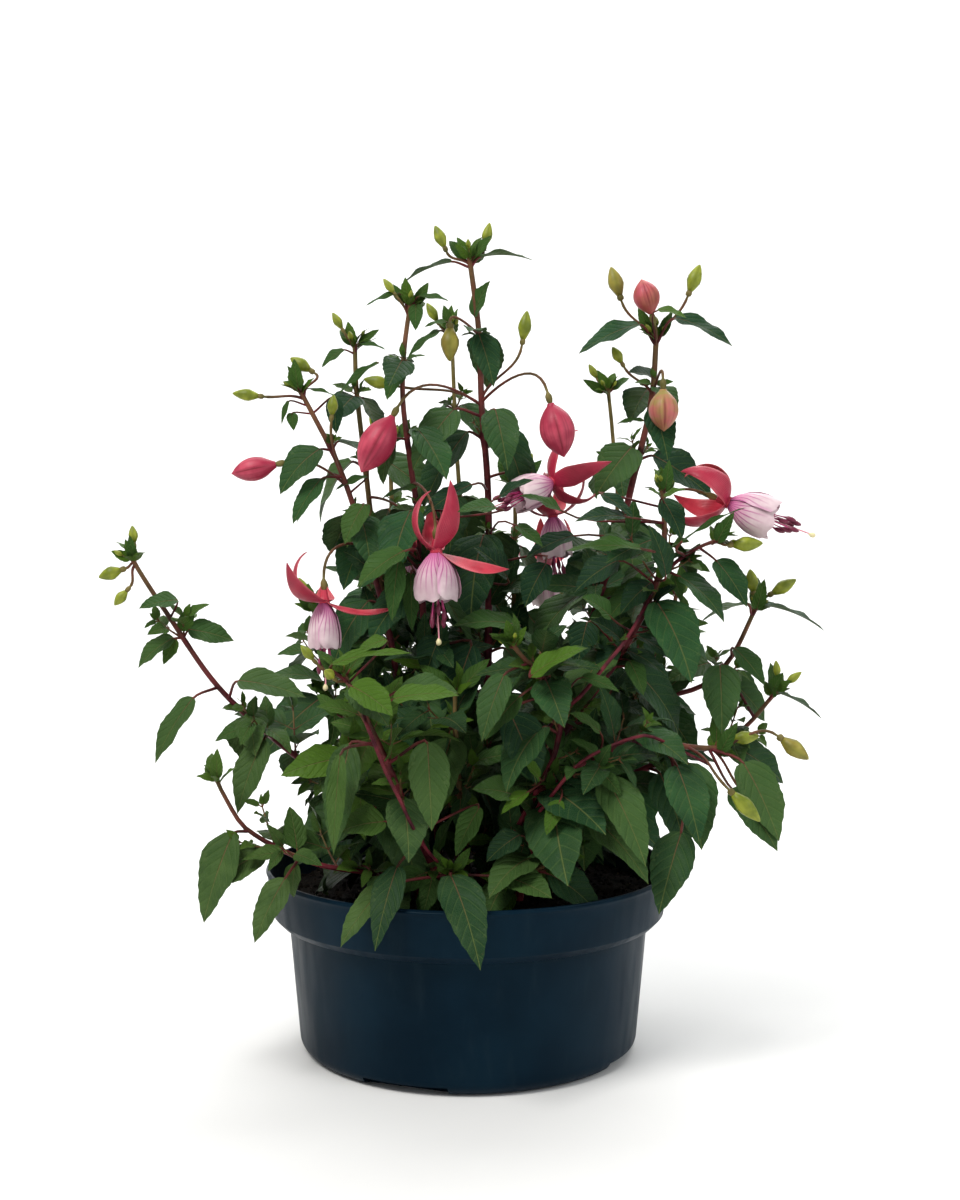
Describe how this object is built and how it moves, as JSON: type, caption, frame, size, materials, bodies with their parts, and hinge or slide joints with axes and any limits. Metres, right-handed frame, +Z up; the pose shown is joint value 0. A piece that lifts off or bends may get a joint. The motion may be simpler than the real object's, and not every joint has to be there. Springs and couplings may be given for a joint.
{
  "type": "potted fuchsia",
  "caption": "Bushy fuchsia with toothed leaves, pink and white hanging flowers and buds, standing in a wide round plastic nursery pot.",
  "frame": {"origin": "centre of the pot's flat base, on the surface it stands on", "axes": "+Z up along the pot's axis, -Y to the front of the plant, +X to its right seen from the front"},
  "size_m": [0.4782, 0.3525, 0.5563],
  "materials": {
    "pot_plastic": "satin, dark blue-black",
    "potting_soil": "loose, matte",
    "foliage": "soft sheen",
    "sepal": "soft sheen",
    "petal": "soft sheen",
    "stamen": "soft sheen"
  },
  "bodies": {
    "root": {"pot": "pot_plastic", "potting_soil": "potting_soil", "bud_left_of_centre": "sepal", "bud_right_of_centre": "sepal", "bloom_behind_right_sepals": "sepal", "bloom_behind_right_corolla": "petal", "bloom_behind_right_stamens": "stamen", "bloom_front_sepals": "sepal", "bloom_front_corolla": "petal", "bloom_front_stamens": "stamen", "bloom_behind_left_sepals": "sepal", "bloom_behind_left_corolla": "petal", "bloom_behind_left_stamens": "stamen", "bloom_left_sepals": "sepal", "bloom_left_corolla": "petal", "bloom_left_stamens": "stamen", "bud_far_left": "sepal", "bud_top_right": "sepal", "bud_right_side": "sepal", "bloom_centre_right_sepals": "sepal", "bloom_centre_right_corolla": "petal", "bloom_centre_right_stamens": "stamen", "bloom_right_sepals": "sepal", "bloom_right_corolla": "petal", "bloom_right_stamens": "stamen", "bloom_back_sepals": "sepal", "bloom_back_corolla": "petal", "bloom_back_stamens": "stamen", "stem_tall_centre": "foliage", "stem_left_centre": "foliage", "stem_behind_centre": "foliage", "stem_left_second": "foliage", "stem_left_third": "foliage", "stem_right_tall": "foliage", "stem_right_back": "foliage", "stem_right_flower": "foliage", "stem_right_outer_top": "foliage", "stem_right_outer_middle": "foliage", "stem_right_low": "foliage", "stem_left_long": "foliage", "stem_left_low": "foliage", "stem_front_left": "foliage", "stem_front_low": "foliage", "stem_front_right": "foliage", "stem_middle_fill": "foliage", "stem_right_fill": "foliage", "stem_left_fill": "foliage", "stem_front_fill": "foliage", "stem_back_left": "foliage", "stem_back_centre": "foliage", "stem_back_far_left": "foliage", "stem_back_far_right": "foliage", "stem_back_low_right": "foliage", "stem_back_low_left": "foliage"}
  },
  "joints": []
}
